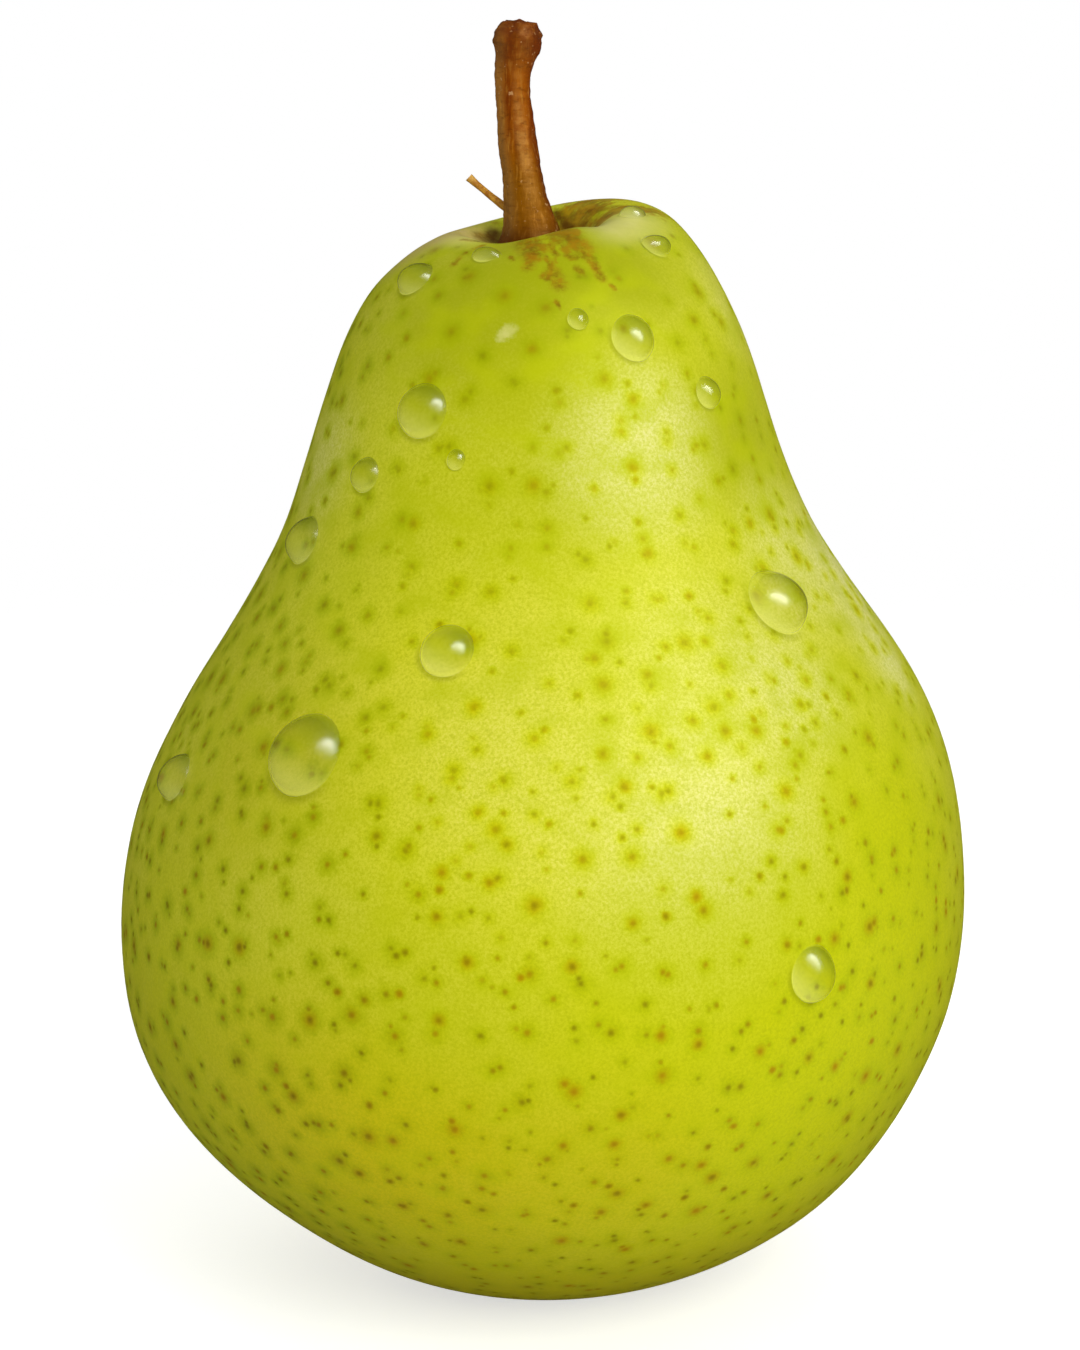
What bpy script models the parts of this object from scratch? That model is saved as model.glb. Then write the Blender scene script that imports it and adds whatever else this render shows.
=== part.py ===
"""A green pear standing on its foot, with its woody stem.

The body is one grown solid: a turned outline that is then leaned, lobed and tilted the way a
real fruit grows. A socket in the stem cavity holds the stem, and the basin in the foot holds
the dried remains of the flower. +Z is up, and the origin is on the surface the pear rests on,
under the middle of the body.
"""

import math

import bmesh
import bpy
from mathutils import Vector

MM = 0.001
NAME = "pear"

# Body, in millimetres. The outline runs from the stem cavity over the shoulder to the foot.
SIDES = 64
STEPS_PER_SPAN = 2
SOCKET_RADIUS = 2.9
SOCKET_FLOOR = 90.0
SOCKET_MOUTH = 93.0
CAVITY = [(5.0, 94.7), (7.0, 96.2), (9.5, 96.0)]
NECK = [(12.1, 94.5), (15.5, 90.5), (18.2, 85.0), (20.8, 77.0), (23.9, 69.0)]
SHOULDER = [(28.2, 62.0), (32.7, 55.0), (36.6, 46.0)]
BELLY = [(38.3, 36.0), (37.6, 26.0), (34.1, 17.5), (28.6, 10.5), (22.1, 5.3), (16.3, 2.2)]
RING_OUTER = 10.0
RING_MIDDLE = 8.4
RING_INNER = 6.9
BASIN = [(5.9, 1.1), (4.4, 2.8), (2.5, 4.2)]
BASIN_DEPTH = 4.9

# How the body grew away from a turned shape, in millimetres and radians. A swell on the rim of
# the stem cavity has a place (x, y), a rise and a spread.
SHOULDER_LEAN = 1.25
SHOULDER_LEAN_HEIGHT = 57.0
BELLY_LEAN = -0.55
BELLY_LEAN_HEIGHT = 18.0
LEAN_SPREAD = 12.5
FOOT_LEAN = 0.65
FOOT_LEAN_HEIGHT = 7.0
FOOT_LEAN_SPREAD = 8.0
NECK_LEAN = 0.3
RIM_TILT_X = 0.125
RIM_TILT_Y = 0.085
RIM_TWIST = 0.012
RIM_SWELLS = [(3.8, -8.6, 0.75, 2.8), (-4.2, -7.6, -0.75, 3.2)]
OVAL = 0.008
THREE_LOBES = 0.008

# Stem: middle line and radius, bottom to top, in millimetres
STEM_X = -1.15
STEM_Y = -0.5
STEM_SIDES_RESOLUTION = 6
STEM_LINE = [
    (STEM_X, STEM_Y, 90.4, 2.6),
    (STEM_X, STEM_Y, 93.0, 2.6),
    (STEM_X, STEM_Y, 95.0, 2.55),
    (-1.35, -0.5, 96.5, 2.3),
    (-1.6, -0.5, 98.0, 2.0),
    (-1.9, -0.45, 100.4, 1.75),
    (-2.35, -0.3, 103.0, 1.7),
    (-2.7, -0.1, 107.0, 1.53),
    (-2.75, 0.0, 109.5, 1.6),
    (-2.45, 0.0, 111.3, 1.9),
    (-2.15, 0.0, 112.7, 2.05),
    (-2.1, 0.0, 113.8, 1.35),
]

# Stub of the leaf's stalk, base to cut tip, in millimetres
STALK_RADIUS = 0.29
STALK_LINE = [(-3.9, 0.9, 97.8), (-4.9, 1.05, 98.6), (-6.6, 1.2, 100.1)]

# Dried flower in the basin, in millimetres
CUP_OUTLINE = [
    (0.0, 4.35),
    (1.1, 4.2),
    (1.7, 3.7),
    (2.0, 2.9),
    (2.15, 2.3),
    (1.85, 2.2),
    (1.6, 2.9),
    (1.2, 3.4),
    (0.0, 3.6),
]
CUP_SIDES = 20
SEPALS = 5
SEPAL_LINE = [(2.6, 2.45), (3.2, 2.25), (3.8, 1.8), (4.35, 1.2), (4.7, 0.75)]
SEPAL_HALF_WIDTHS = [0.85, 0.95, 0.75, 0.45, 0.12]
SEPAL_THICKNESS = 0.3
SEPAL_CUP = 0.25

MERGE = 0.00001


def ease(low, high, value):
    """0 below low, 1 above high, and a smooth step between."""
    share = min(max((value - low) / (high - low), 0.0), 1.0)
    return share * share * (3.0 - 2.0 * share)


def bell(middle, spread, value):
    """A smooth bump of height 1 at middle."""
    return math.exp(-(((value - middle) / spread) ** 2))


def curve_through(points, steps):
    """Points along the centripetal Catmull-Rom curve that passes through the given ones."""
    knots = [Vector(point) for point in points]
    knots = [2 * knots[0] - knots[1]] + knots + [2 * knots[-1] - knots[-2]]
    line = []
    for a, b, c, d in zip(knots, knots[1:], knots[2:], knots[3:]):
        end_ab = (b - a).length ** 0.5
        end_bc = end_ab + (c - b).length ** 0.5
        end_cd = end_bc + (d - c).length ** 0.5
        for step in range(steps):
            t = end_ab + (end_bc - end_ab) * step / steps
            ab = a.lerp(b, t / end_ab)
            bc = b.lerp(c, (t - end_ab) / (end_bc - end_ab))
            cd = c.lerp(d, (t - end_bc) / (end_cd - end_bc))
            abc = ab.lerp(bc, t / end_bc)
            bcd = bc.lerp(cd, (t - end_ab) / (end_cd - end_ab))
            line.append(abc.lerp(bcd, (t - end_ab) / (end_bc - end_ab)))
    return line + [knots[-2]]


def clear_scene():
    for thing in list(bpy.data.objects):
        bpy.data.objects.remove(thing, do_unlink=True)


def make_collection():
    collection = bpy.data.collections.new(NAME)
    bpy.context.scene.collection.children.link(collection)
    return collection


def make_material(name, colour, roughness):
    material = bpy.data.materials.new(name)
    material.use_nodes = True
    shader = material.node_tree.nodes["Principled BSDF"]
    shader.inputs["Base Color"].default_value = (*colour, 1.0)
    shader.inputs["Roughness"].default_value = roughness
    shader.inputs["Metallic"].default_value = 0.0
    return material


def add_object(collection, name, data, material):
    thing = bpy.data.objects.new(name, data)
    data.materials.append(material)
    collection.objects.link(thing)
    return thing


def turned(collection, name, outline, sides, material):
    """A solid turned about Z from (radius, height) pairs in millimetres."""
    mesh = bpy.data.meshes.new(name)
    spots = [(radius * MM, 0.0, height * MM) for radius, height in outline]
    mesh.from_pydata(spots, [(i, i + 1) for i in range(len(spots) - 1)], [])
    thing = add_object(collection, name, mesh, material)
    screw = thing.modifiers.new("turn", "SCREW")
    screw.axis = "Z"
    screw.angle = 2 * math.pi
    screw.steps = sides
    screw.render_steps = sides
    screw.use_merge_vertices = True
    screw.merge_threshold = MERGE
    return thing


def keep_shape(thing):
    """Replace the object's mesh and modifiers with the mesh that they make."""
    bpy.context.view_layer.update()
    shaped = thing.evaluated_get(bpy.context.evaluated_depsgraph_get())
    mesh = bpy.data.meshes.new_from_object(shaped)
    thing.modifiers.clear()
    thing.data = mesh
    return mesh


def body_outline():
    outer = [(SOCKET_RADIUS, SOCKET_MOUTH)] + CAVITY + NECK + SHOULDER + BELLY + [(RING_OUTER, 0.0)]
    basin = [(RING_INNER, 0.0)] + BASIN + [(0.0, BASIN_DEPTH)]
    socket = [(0.0, SOCKET_FLOOR), (SOCKET_RADIUS, SOCKET_FLOOR)]
    skin = curve_through(outer, STEPS_PER_SPAN)
    return socket + skin + [(RING_MIDDLE, 0.0)] + curve_through(basin, STEPS_PER_SPAN)


def grown(spot):
    """Where a point of the turned body lies on the grown one, all in millimetres."""
    x, y, z = spot
    radius = math.hypot(x, y)
    angle = math.atan2(y, x)
    lobes = OVAL * math.sin(2 * angle) + THREE_LOBES * math.sin(3 * angle)
    swell = 1.0 + lobes * ease(4.0, 14.0, radius)
    lean = SHOULDER_LEAN * bell(SHOULDER_LEAN_HEIGHT, LEAN_SPREAD, z)
    lean += BELLY_LEAN * bell(BELLY_LEAN_HEIGHT, LEAN_SPREAD, z)
    lean += FOOT_LEAN * bell(FOOT_LEAN_HEIGHT, FOOT_LEAN_SPREAD, z)
    lean += NECK_LEAN * ease(75.0, 97.0, z)
    top = ease(80.0, 93.0, z)
    near_stem = ease(80.0, SOCKET_FLOOR, z) * (1.0 - ease(3.0, 14.0, radius))
    tilt = (RIM_TILT_X * x + RIM_TILT_Y * y + RIM_TWIST * x * y) * top
    tilt *= ease(SOCKET_RADIUS, 6.0, radius) * (1.0 - ease(9.0, 17.0, radius))
    swells = sum(rise * bell(0.0, spread, math.dist((x, y), (px, py))) for px, py, rise, spread in RIM_SWELLS)
    tilt += swells * top * ease(SOCKET_RADIUS, 6.0, radius)
    return (
        x * swell + lean * (1.0 - near_stem) + STEM_X * near_stem,
        y * swell + STEM_Y * near_stem,
        z + tilt,
    )


def make_fruit(collection):
    material = make_material("pear_skin", (0.50, 0.53, 0.03), 0.38)
    fruit = turned(collection, "fruit", body_outline(), SIDES, material)
    mesh = keep_shape(fruit)
    for vertex in mesh.vertices:
        vertex.co = Vector(grown(vertex.co / MM)) * MM
    mesh.shade_smooth()
    mesh.set_sharp_from_angle(angle=math.radians(50))
    return fruit


def make_tube(collection, name, line, thickness, resolution, material):
    """A closed round tube along (x, y, z, radius) points in millimetres."""
    curve = bpy.data.curves.new(name, "CURVE")
    curve.dimensions = "3D"
    curve.bevel_depth = thickness * MM
    curve.bevel_resolution = resolution
    curve.use_fill_caps = True
    spline = curve.splines.new("POLY")
    spline.points.add(len(line) - 1)
    for point, (x, y, z, radius) in zip(spline.points, line):
        point.co = (x * MM, y * MM, z * MM, 1.0)
        point.radius = radius / thickness
    return add_object(collection, name, curve, material)


def make_stem(collection):
    material = make_material("stem_bark", (0.22, 0.07, 0.02), 0.5)
    line = curve_through(STEM_LINE, STEPS_PER_SPAN)
    return make_tube(collection, "stem", line, 1.0, STEM_SIDES_RESOLUTION, material)


def make_leaf_stalk(collection):
    material = make_material("stalk_fibre", (0.55, 0.30, 0.03), 0.5)
    line = [(*point, STALK_RADIUS) for point in curve_through(STALK_LINE, STEPS_PER_SPAN)]
    return make_tube(collection, "leaf_stalk", line, STALK_RADIUS, 2, material)


def make_calyx_cup(collection, material):
    cup = turned(collection, "calyx_cup", CUP_OUTLINE, CUP_SIDES, material)
    keep_shape(cup).shade_smooth()
    return cup


def make_sepal(collection, number, material):
    """One dried sepal: a tapering scale, cupped across and bent down towards its tip."""
    mesh = bpy.data.meshes.new(f"sepal_{number}")
    bm = bmesh.new()
    rows = []
    for (reach, height), half in zip(SEPAL_LINE, SEPAL_HALF_WIDTHS):
        across = [(-half, SEPAL_CUP * half), (0.0, 0.0), (half, SEPAL_CUP * half)]
        rows.append([bm.verts.new((reach * MM, y * MM, (height - drop) * MM)) for y, drop in across])
    for inner, outer in zip(rows, rows[1:]):
        for side in range(2):
            bm.faces.new((inner[side], outer[side], outer[side + 1], inner[side + 1]))
    bm.to_mesh(mesh)
    bm.free()
    mesh.shade_smooth()
    sepal = add_object(collection, f"sepal_{number}", mesh, material)
    sepal.rotation_euler.z = 2 * math.pi * (number - 1) / SEPALS + math.radians(12)
    shell = sepal.modifiers.new("thickness", "SOLIDIFY")
    shell.thickness = SEPAL_THICKNESS * MM
    shell.offset = 0.0
    return sepal


def main():
    clear_scene()
    collection = make_collection()
    make_fruit(collection)
    make_stem(collection)
    make_leaf_stalk(collection)
    dried = make_material("dried_flower", (0.10, 0.055, 0.02), 0.75)
    make_calyx_cup(collection, dried)
    for number in range(1, SEPALS + 1):
        make_sepal(collection, number, dried)


main()
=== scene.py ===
import math

import bmesh
import bpy
from mathutils import Matrix, Vector
from mathutils.bvhtree import BVHTree


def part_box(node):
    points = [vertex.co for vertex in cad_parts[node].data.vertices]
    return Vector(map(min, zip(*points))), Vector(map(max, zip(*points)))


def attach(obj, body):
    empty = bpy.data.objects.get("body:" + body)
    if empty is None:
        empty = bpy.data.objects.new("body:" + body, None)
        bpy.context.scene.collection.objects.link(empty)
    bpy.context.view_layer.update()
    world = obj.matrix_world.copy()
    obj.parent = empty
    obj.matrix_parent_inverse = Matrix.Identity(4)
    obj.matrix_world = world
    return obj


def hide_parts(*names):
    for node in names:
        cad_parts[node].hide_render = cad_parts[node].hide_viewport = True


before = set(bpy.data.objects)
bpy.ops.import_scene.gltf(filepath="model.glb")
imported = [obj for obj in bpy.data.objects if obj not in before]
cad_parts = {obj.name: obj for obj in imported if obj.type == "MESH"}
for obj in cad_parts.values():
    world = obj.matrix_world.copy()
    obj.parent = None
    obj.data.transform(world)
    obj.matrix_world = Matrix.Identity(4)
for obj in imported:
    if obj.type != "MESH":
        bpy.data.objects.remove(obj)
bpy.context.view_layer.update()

MM = 0.001
BODY = "root"

# Where the grown things are, read from the frame
STEM_LOW, STEM_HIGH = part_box("stem")
STALK_LOW, STALK_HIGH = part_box("leaf_stalk")
CUP_LOW, CUP_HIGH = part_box("calyx_cup")

# Heart of the body, from which places on the skin are named by a turn and a tilt
HEART = Vector((0.0, 0.0, 50.0)) * MM

# Where the stem leaves the skin, and how its foot swells there to meet the socket, in millimetres
STEM_LEAVES_SKIN = 94.0
STEM_FLARE = 0.55
STEM_FLARE_HEIGHT = 93.8
STEM_FLARE_SPREAD = 1.3

# How many level cuts of the CAD stem the visual stem follows
STEM_CUTS = 26

# How often the CAD body's net is halved to make the skin
SKIN_HALVINGS = 2

# Kinds of lenticel: how far apart in millimetres, the share of places taken, the radii of the
# green halo and of the corky core in millimetres, and the seed of the scatter
LENTICELS = {
    "broad": {"apart": 3.5, "share": 1.00, "halo": 1.75, "core": 0.28, "seed": 3},
    "plain": {"apart": 2.8, "share": 1.00, "halo": 1.42, "core": 0.26, "seed": 11},
    "fine": {"apart": 2.4, "share": 0.70, "halo": 0.96, "core": 0.24, "seed": 29},
}

# Beads of water: turn and tilt in degrees, width and height in millimetres.
# A turn of 0 faces -Y, and a positive turn goes round to +X.
BEADS = [
    (56, 75.4, 3.4, 2.3), (80, 80.5, 2.4, 2.2), (-26.4, 75.9, 2.9, 1.9), (-53, 71.7, 3.9, 3.4),
    (10.1, 67.5, 1.7, 2.1), (26.2, 65.6, 3.9, 4.3), (48.3, 60.1, 2.9, 2.9), (-32.3, 58.4, 4.9, 4.8),
    (-21.1, 53.3, 1.6, 1.9), (-46.4, 50.7, 3.3, 3.1), (-63.5, 40, 4.6, 4.4), (49.1, 30.1, 6.6, 6.1),
    (-17.1, 24.7, 4.7, 4.8), (-37.8, 6.6, 7.2, 7.5), (-67.4, -1.6, 4.6, 4.4), (36.3, -20.2, 4.5, 5.0),
    (142, 64, 3.6, 3.8), (130, 47, 2.2, 2.3), (160, 54, 4.6, 4.4), (-138, 62, 3.2, 3.1),
    (-124, 30, 5.4, 5.6), (-141, 10, 3.4, 3.5), (176, 20, 6.4, 6.6), (-162, 44, 2.8, 2.9),
    (126, 6, 4.2, 4.4), (113, -12, 2.6, 2.8), (150, -20, 5.2, 5.6), (-122, -16, 4.0, 4.3),
]

# Which way the painted caustic under a bead lies on the skin; painted shade lies on the far side
PAINTED_CAUSTIC_TOWARDS = tuple(Vector((-0.60, -0.35, -0.72)).normalized())

# What the skin's colour is multiplied by: in the light grain, in a lenticel's halo, in the halos once more
# # on the shaded left side (painted shade), and in the inner half of a halo
GRAIN_STAIN = (1.13, 1.08, 2.60, 1.0)
HALO_STAIN = (0.87, 0.92, 0.0, 1.0)
SHADED_LEFT_HALO_STAIN = (0.80, 0.86, 0.60, 1.0)
INNER_STAIN = (0.86, 0.85, 0.10, 1.0)

# Clouds in the ground colour: centre and radius in millimetres, share, and tint as sRGB values.
# Later clouds lie over earlier ones.
# The pale and bright tints are partly the skin's own paler patches and partly painted sheen where the light
# falls
CLOUD_TINTS = {
    "deep": (160, 168, 0),
    "clear": (196, 202, 0),
    "gold": (208, 190, 4),
    "ochre": (176, 168, 12),
    "bright": (224, 222, 30),
    "pale": (230, 230, 126),
}
CLOUDS = [
    ((-5, -14, 91), 9, 0.80, "deep"), ((5, -12, 93), 7, 0.75, "deep"), ((30, -22, 34), 14, 0.85, "clear"),
    ((21, -30, 24), 10, 0.80, "clear"), ((31, -19, 46), 9, 0.80, "clear"), ((17, -11, 79), 6, 0.60, "deep"),
    ((8, -37, 33), 8, 0.50, "clear"), ((3, -20, 77), 8, 0.35, "deep"), ((-18, -32, 23), 10, 0.45, "gold"),
    ((-8, -35, 19), 9, 0.45, "gold"), ((6, -35, 19), 8, 0.30, "gold"), ((8, -19, 78), 6, 0.55, "pale"),
    ((13, -34, 48), 9, 0.70, "pale"), ((22, -11, 68), 6, 0.45, "pale"), ((27, -3, 66), 5, 0.80, "pale"),
    ((-10, -29, 59), 10, 0.40, "bright"), ((-2, -32, 52), 10, 0.55, "bright"),
    ((13, -25, 62), 6, 0.25, "pale"), ((31, -8, 58), 3, 0.50, "pale"), ((-22, -9, 77), 5, 0.45, "pale"),
    ((-8, -36, 34), 9, 0.30, "clear"), ((-27, -24, 54), 10, 0.40, "ochre"), ((26, -2, 66), 6, 0.40, "pale"),
    ((29, -8, 60), 4, 0.45, "pale"), ((7, 4, 98), 4, 0.70, "bright"), ((-1, -33, 55), 9, 0.20, "pale"),
    ((16, -3, 90), 4, 0.20, "pale"), ((9, -37, 40), 6, 0.60, "clear"), ((19, -33, 40), 8, 0.70, "clear"),
    ((21, -23, 59), 5, 0.50, "pale"), ((9, -17, 81), 4, 0.30, "pale"),
]

# Russet streaks by the stem, and painted shade in the creases beside it: start, end and width, in millimetres
DRIPS = [
    ((-1.6, -9.0, 95.2), (-1.0, -11.3, 94.4), 1.30), ((-1.0, -11.2, 94.4), (-1.4, -12.7, 93.4), 0.65),
    ((0.5, -10.2, 95.0), (1.0, -11.6, 94.3), 0.38), ((0.2, -11.8, 94.1), (0.7, -12.8, 93.3), 0.36),
    ((0.7, -13.2, 92.9), (1.3, -14.2, 92.0), 0.85), ((-0.1, -13.6, 92.7), (0.4, -13.8, 92.5), 0.42),
    ((1.9, -9.3, 95.7), (3.4, -10.8, 94.8), 1.15), ((3.6, -11.5, 94.1), (4.3, -12.0, 93.4), 0.58),
    ((4.4, -12.4, 93.2), (4.9, -12.9, 92.4), 0.52), ((2.0, -11.6, 94.3), (2.6, -11.8, 94.1), 0.44),
    ((2.7, -12.6, 93.2), (3.1, -12.8, 93.0), 0.45), ((5.7, -13.2, 91.9), (5.9, -13.3, 91.6), 0.32),
    ((1.0, -15.3, 90.7), (1.3, -15.7, 90.2), 0.26), ((-2.9, -11.2, 94.1), (-2.7, -11.6, 93.9), 0.30),
    ((-7.7, -9.8, 93.4), (-6.6, -8.4, 94.1), 0.40), ((-6.6, -8.4, 94.1), (-5.2, -7.0, 94.9), 0.30),
    ((2.8, 4.2, 96.5), (4.2, 3.8, 97.0), 1.10), ((4.0, 3.6, 96.9), (7.4, 1.2, 97.5), 0.70),
    ((2.8, 3.0, 95.8), (5.6, 0.2, 96.6), 0.80), ((2.3, 5.9, 97.2), (4.4, 6.2, 97.7), 0.60),
    ((-7.0, -5.4, 95.1), (-4.6, -6.2, 95.0), 0.40), ((-5.8, 2.6, 94.9), (-4.8, 3.4, 94.8), 0.80),
]
PAINTED_CREASE_SHADE = [((1.1, 5.8, 96.6), (2.3, 3.4, 95.3), 0.70), ((-4.4, 4.0, 95.0), (-4.2, 0.5, 94.3), 1.00)]

# Pale scar under the rim: centre and radius of each of its spots, in millimetres
PALE_SCARS = [((-3.0, -16.6, 88.4), 0.95), ((-3.6, -16.7, 88.0), 0.8)]

# Camera: tilt down in degrees, distance in metres, the point it looks at in millimetres, its lens
CAMERA_TILT = 11.0
CAMERA_DISTANCE = 0.339
CAMERA_AIM = (-0.36, 0.0, 55.55)
CAMERA_LENS = 100

# Studio: how strong the white round the pear is as light and in gloss, and the floor's own glow
STUDIO_AIM = (0.0, 0.0, 55.0)
WORLD_FILL = 0.38
WORLD_SHEEN = 0.014
FLOOR_GLOW = 0.61
FLOOR_RADIUS = 0.4

# Round card that makes the glints: where it stands in degrees and metres, its size and its glow
CARD_TURN = 37.0
CARD_TILT = 38.0
CARD_FAR = 0.60
CARD_HALF = 0.29
CARD_GLOW = 7.0
CARD_CORNERS = 48


# ---------------------------------------------------------------- node helpers


class Wire:
    """A node's output socket that can be used in sums."""

    def __init__(self, tree, node, output=0):
        self.tree = tree
        self.node = node
        live = [socket for socket in node.outputs if socket.enabled]
        if output is not None:
            self.socket = live[output] if isinstance(output, int) else node.outputs[output]

    def out(self, name):
        return Wire(self.tree, self.node, name)

    def __add__(self, other):
        return self.tree.maths("ADD", self, other)

    def __radd__(self, other):
        return self.tree.maths("ADD", other, self)

    def __sub__(self, other):
        return self.tree.maths("SUBTRACT", self, other)

    def __rsub__(self, other):
        return self.tree.maths("SUBTRACT", other, self)

    def __mul__(self, other):
        return self.tree.maths("MULTIPLY", self, other)

    def __rmul__(self, other):
        return self.tree.maths("MULTIPLY", other, self)

    def __truediv__(self, other):
        return self.tree.maths("DIVIDE", self, other)

    def __pow__(self, other):
        return self.tree.maths("POWER", self, other)


class Tree:
    """Adds nodes to a shader tree or a geometry tree."""

    def __init__(self, nodes_of):
        self.tree = nodes_of

    def add(self, kind, settings=None, values=None, output=0):
        """A node of that kind: its settings first, then its sockets' values or links."""
        node = self.tree.nodes.new(kind)
        for name, value in (settings or {}).items():
            setattr(node, name, value)
        for key, value in (values or {}).items():
            self.put(node, key, value)
        return Wire(self, node, output)

    def put(self, node, key, value):
        live = [socket for socket in node.inputs if socket.enabled]
        if isinstance(key, int):
            socket = live[key]
        else:
            socket = next(socket for socket in live if socket.name == key)
        if isinstance(value, Wire):
            self.tree.links.new(value.socket, socket)
        else:
            socket.default_value = value

    def maths(self, operation, *terms):
        return self.add("ShaderNodeMath", {"operation": operation}, dict(enumerate(terms)))

    def vector(self, operation, *terms, output="Vector"):
        sockets = dict(enumerate(terms))
        if operation == "SCALE":
            sockets = {0: terms[0], "Scale": terms[1]}
        return self.add("ShaderNodeVectorMath", {"operation": operation}, sockets, output)

    def ease(self, value, low, high):
        """0 at low, 1 at high, smooth between; low may be the larger."""
        settings = {"interpolation_type": "SMOOTHSTEP"}
        if not isinstance(low, Wire) and low > high:
            return 1 - self.ease(value, high, low)
        return self.add("ShaderNodeMapRange", settings, {0: value, 1: low, 2: high})

    def noise(self, place, scale, detail=2.0, roughness=0.5, distortion=0.0):
        sockets = {"Vector": place, "Scale": scale, "Detail": detail}
        sockets.update({"Roughness": roughness, "Distortion": distortion})
        return self.add("ShaderNodeTexNoise", None, sockets)

    def blend(self, share, first, second, kind="MIX"):
        """Colour first where share is 0 and second where it is 1."""
        settings = {"data_type": "RGBA", "blend_type": kind, "clamp_factor": True}
        return self.add("ShaderNodeMix", settings, {"Factor": share, "A": first, "B": second})

    def axes(self, place):
        split = self.add("ShaderNodeSeparateXYZ", None, {0: place})
        return split, split.out("Y"), split.out("Z")


def rgb(red, green, blue):
    """A colour named by its sRGB values from 0 to 255, as Blender's linear colour."""
    linear = []
    for value in (red, green, blue):
        share = value / 255
        linear.append(share / 12.92 if share <= 0.04045 else ((share + 0.055) / 1.055) ** 2.4)
    return (*linear, 1.0)


def new_material(name, **uniform):
    """A material with one Principled shader; uniform values go on its own sockets."""
    material = bpy.data.materials.new(name)
    material.use_nodes = True
    tree = Tree(material.node_tree)
    shader = material.node_tree.nodes["Principled BSDF"]
    for key, value in uniform.items():
        tree.put(shader, key.replace("_", " "), value)
    place = tree.add("ShaderNodeTexCoord", None, None, "Object")
    return material, tree, shader, tree.vector("SCALE", place, 1 / MM)


def bump(tree, shader, height, distance, strength=1.0):
    sockets = {"Height": height, "Distance": distance, "Strength": strength}
    tree.put(shader, "Normal", tree.add("ShaderNodeBump", None, sockets))


def geometry_tree(name, sizes):
    """A geometry tree with a geometry input, one named float input for each size, and an output."""
    group = bpy.data.node_groups.new(name, "GeometryNodeTree")
    face = group.interface
    face.new_socket("Geometry", in_out="INPUT", socket_type="NodeSocketGeometry")
    face.new_socket("Geometry", in_out="OUTPUT", socket_type="NodeSocketGeometry")
    for size, value in sizes.items():
        whole = isinstance(value, int)
        kind = "NodeSocketInt" if whole else "NodeSocketFloat"
        face.new_socket(size, in_out="INPUT", socket_type=kind).default_value = value
    tree = Tree(group)
    return group, tree, tree.add("NodeGroupInput")


def close_tree(tree, geometry, material):
    """Ends a geometry tree: real geometry with its material."""
    real = tree.add("GeometryNodeRealizeInstances", None, {0: geometry})
    done = tree.add("GeometryNodeSetMaterial", None, {"Geometry": real, "Material": material})
    tree.add("NodeGroupOutput", None, {0: done}, None)


def grow(thing, group, sizes):
    """Runs a geometry tree on the object and returns the result as a plain mesh."""
    modifier = thing.modifiers.new(group.name, "NODES")
    modifier.node_group = group
    for socket in group.interface.items_tree:
        if socket.in_out == "INPUT" and socket.name in sizes:
            modifier[socket.identifier] = sizes[socket.name]
    bpy.context.view_layer.update()
    shaped = thing.evaluated_get(bpy.context.evaluated_depsgraph_get())
    mesh = bpy.data.meshes.new_from_object(shaped)
    thing.modifiers.clear()
    return mesh


def add_piece(name, mesh, nodes, material=None):
    """A finished piece that rides on the pear and stands for the named CAD nodes."""
    mesh.name = name
    if material is not None:
        mesh.materials.clear()
        mesh.materials.append(material)
    mesh.shade_smooth()
    piece = bpy.data.objects.new(name, mesh)
    bpy.context.scene.collection.objects.link(piece)
    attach(piece, BODY)
    if nodes:
        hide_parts(*nodes)
    return piece


def direction(turn, tilt):
    """The way named by a turn and a tilt in degrees; a turn of 0 faces -Y."""
    turn, tilt = math.radians(turn), math.radians(tilt)
    flat = math.cos(tilt)
    return Vector((flat * math.sin(turn), -flat * math.cos(turn), math.sin(tilt)))


def scratch_object(name, data):
    thing = bpy.data.objects.new(name, data)
    bpy.context.scene.collection.objects.link(thing)
    return thing


# ---------------------------------------------------------------- pear skin


def skin_cage():
    """The CAD body as an even net of four-sided faces."""
    net = bmesh.new()
    net.from_mesh(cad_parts["fruit"].data)
    bmesh.ops.remove_doubles(net, verts=net.verts, dist=0.001 * MM)
    bmesh.ops.join_triangles(
        net, faces=net.faces, angle_face_threshold=math.pi, angle_shape_threshold=math.pi
    )
    mesh = bpy.data.meshes.new("skin_cage")
    net.to_mesh(mesh)
    net.free()
    if "custom_normal" in mesh.attributes:
        mesh.attributes.remove(mesh.attributes["custom_normal"])
    mesh.materials.clear()
    return mesh


def keep_through_corners(cage):
    """Moves the net's corners out by as much as the rounding pulls them in."""
    bpy.context.view_layer.update()
    rounded = cage.evaluated_get(bpy.context.evaluated_depsgraph_get()).data.vertices
    moves = [corner.co - rounded[corner.index].co for corner in cage.data.vertices]
    for corner, move in zip(cage.data.vertices, moves):
        corner.co += move


def note_nearest(tree, geometry, points, name, size):
    """Notes on every face of the geometry where the nearest of the points is, and its size."""
    place = tree.add("GeometryNodeInputPosition")
    near = tree.add("GeometryNodeSampleNearest", None, {0: points, "Sample Position": place})
    for kind, note, value in (("FLOAT_VECTOR", "centre", place), ("FLOAT", "size", size)):
        sampled = tree.add(
            "GeometryNodeSampleIndex",
            {"data_type": kind},
            {"Geometry": points, "Value": value, "Index": near},
        )
        geometry = tree.add(
            "GeometryNodeStoreNamedAttribute",
            {"data_type": kind, "domain": "FACE"},
            {"Geometry": geometry, "Name": f"{name}_{note}", "Value": sampled},
        )
    return geometry


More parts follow.
